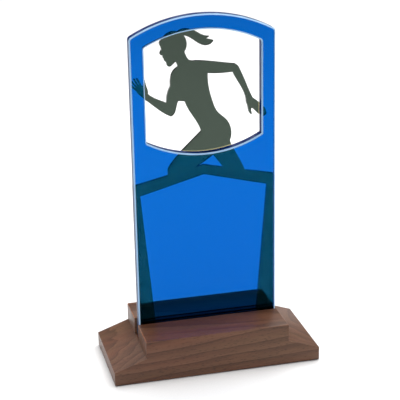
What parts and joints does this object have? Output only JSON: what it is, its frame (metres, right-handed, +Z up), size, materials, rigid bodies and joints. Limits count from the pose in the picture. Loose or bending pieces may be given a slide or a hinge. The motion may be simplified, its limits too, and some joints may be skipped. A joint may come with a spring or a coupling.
{
  "type": "figure trophy",
  "caption": "Standing award: tinted arched acrylic plate with a window, smoked runner silhouette behind it, on a slotted walnut base.",
  "frame": {"origin": "middle of the footprint, on the surface that the trophy stands on", "axes": "+Z up, +X to the right seen from the front, the front faces -Y"},
  "size_m": [0.187, 0.086, 0.3155],
  "materials": {
    "walnut": "hand-rubbed satin lacquer",
    "felt": "napped black felt",
    "blue_acrylic": "polished cast acrylic, satin bevels",
    "smoked_acrylic": "polished cast acrylic",
    "clear_tape": "clear adhesive",
    "packing_rubber": "matt",
    "screw_steel": "zinc plated"
  },
  "bodies": {
    "root": {"walnut_base": "walnut", "felt_pad": "felt", "blue_window_plate": "blue_acrylic", "smoke_runner_plate": "smoked_acrylic", "transfer_tape": "clear_tape", "packing_strip": "packing_rubber", "plate_screws": "screw_steel", "screw_washers": "screw_steel"}
  },
  "joints": []
}
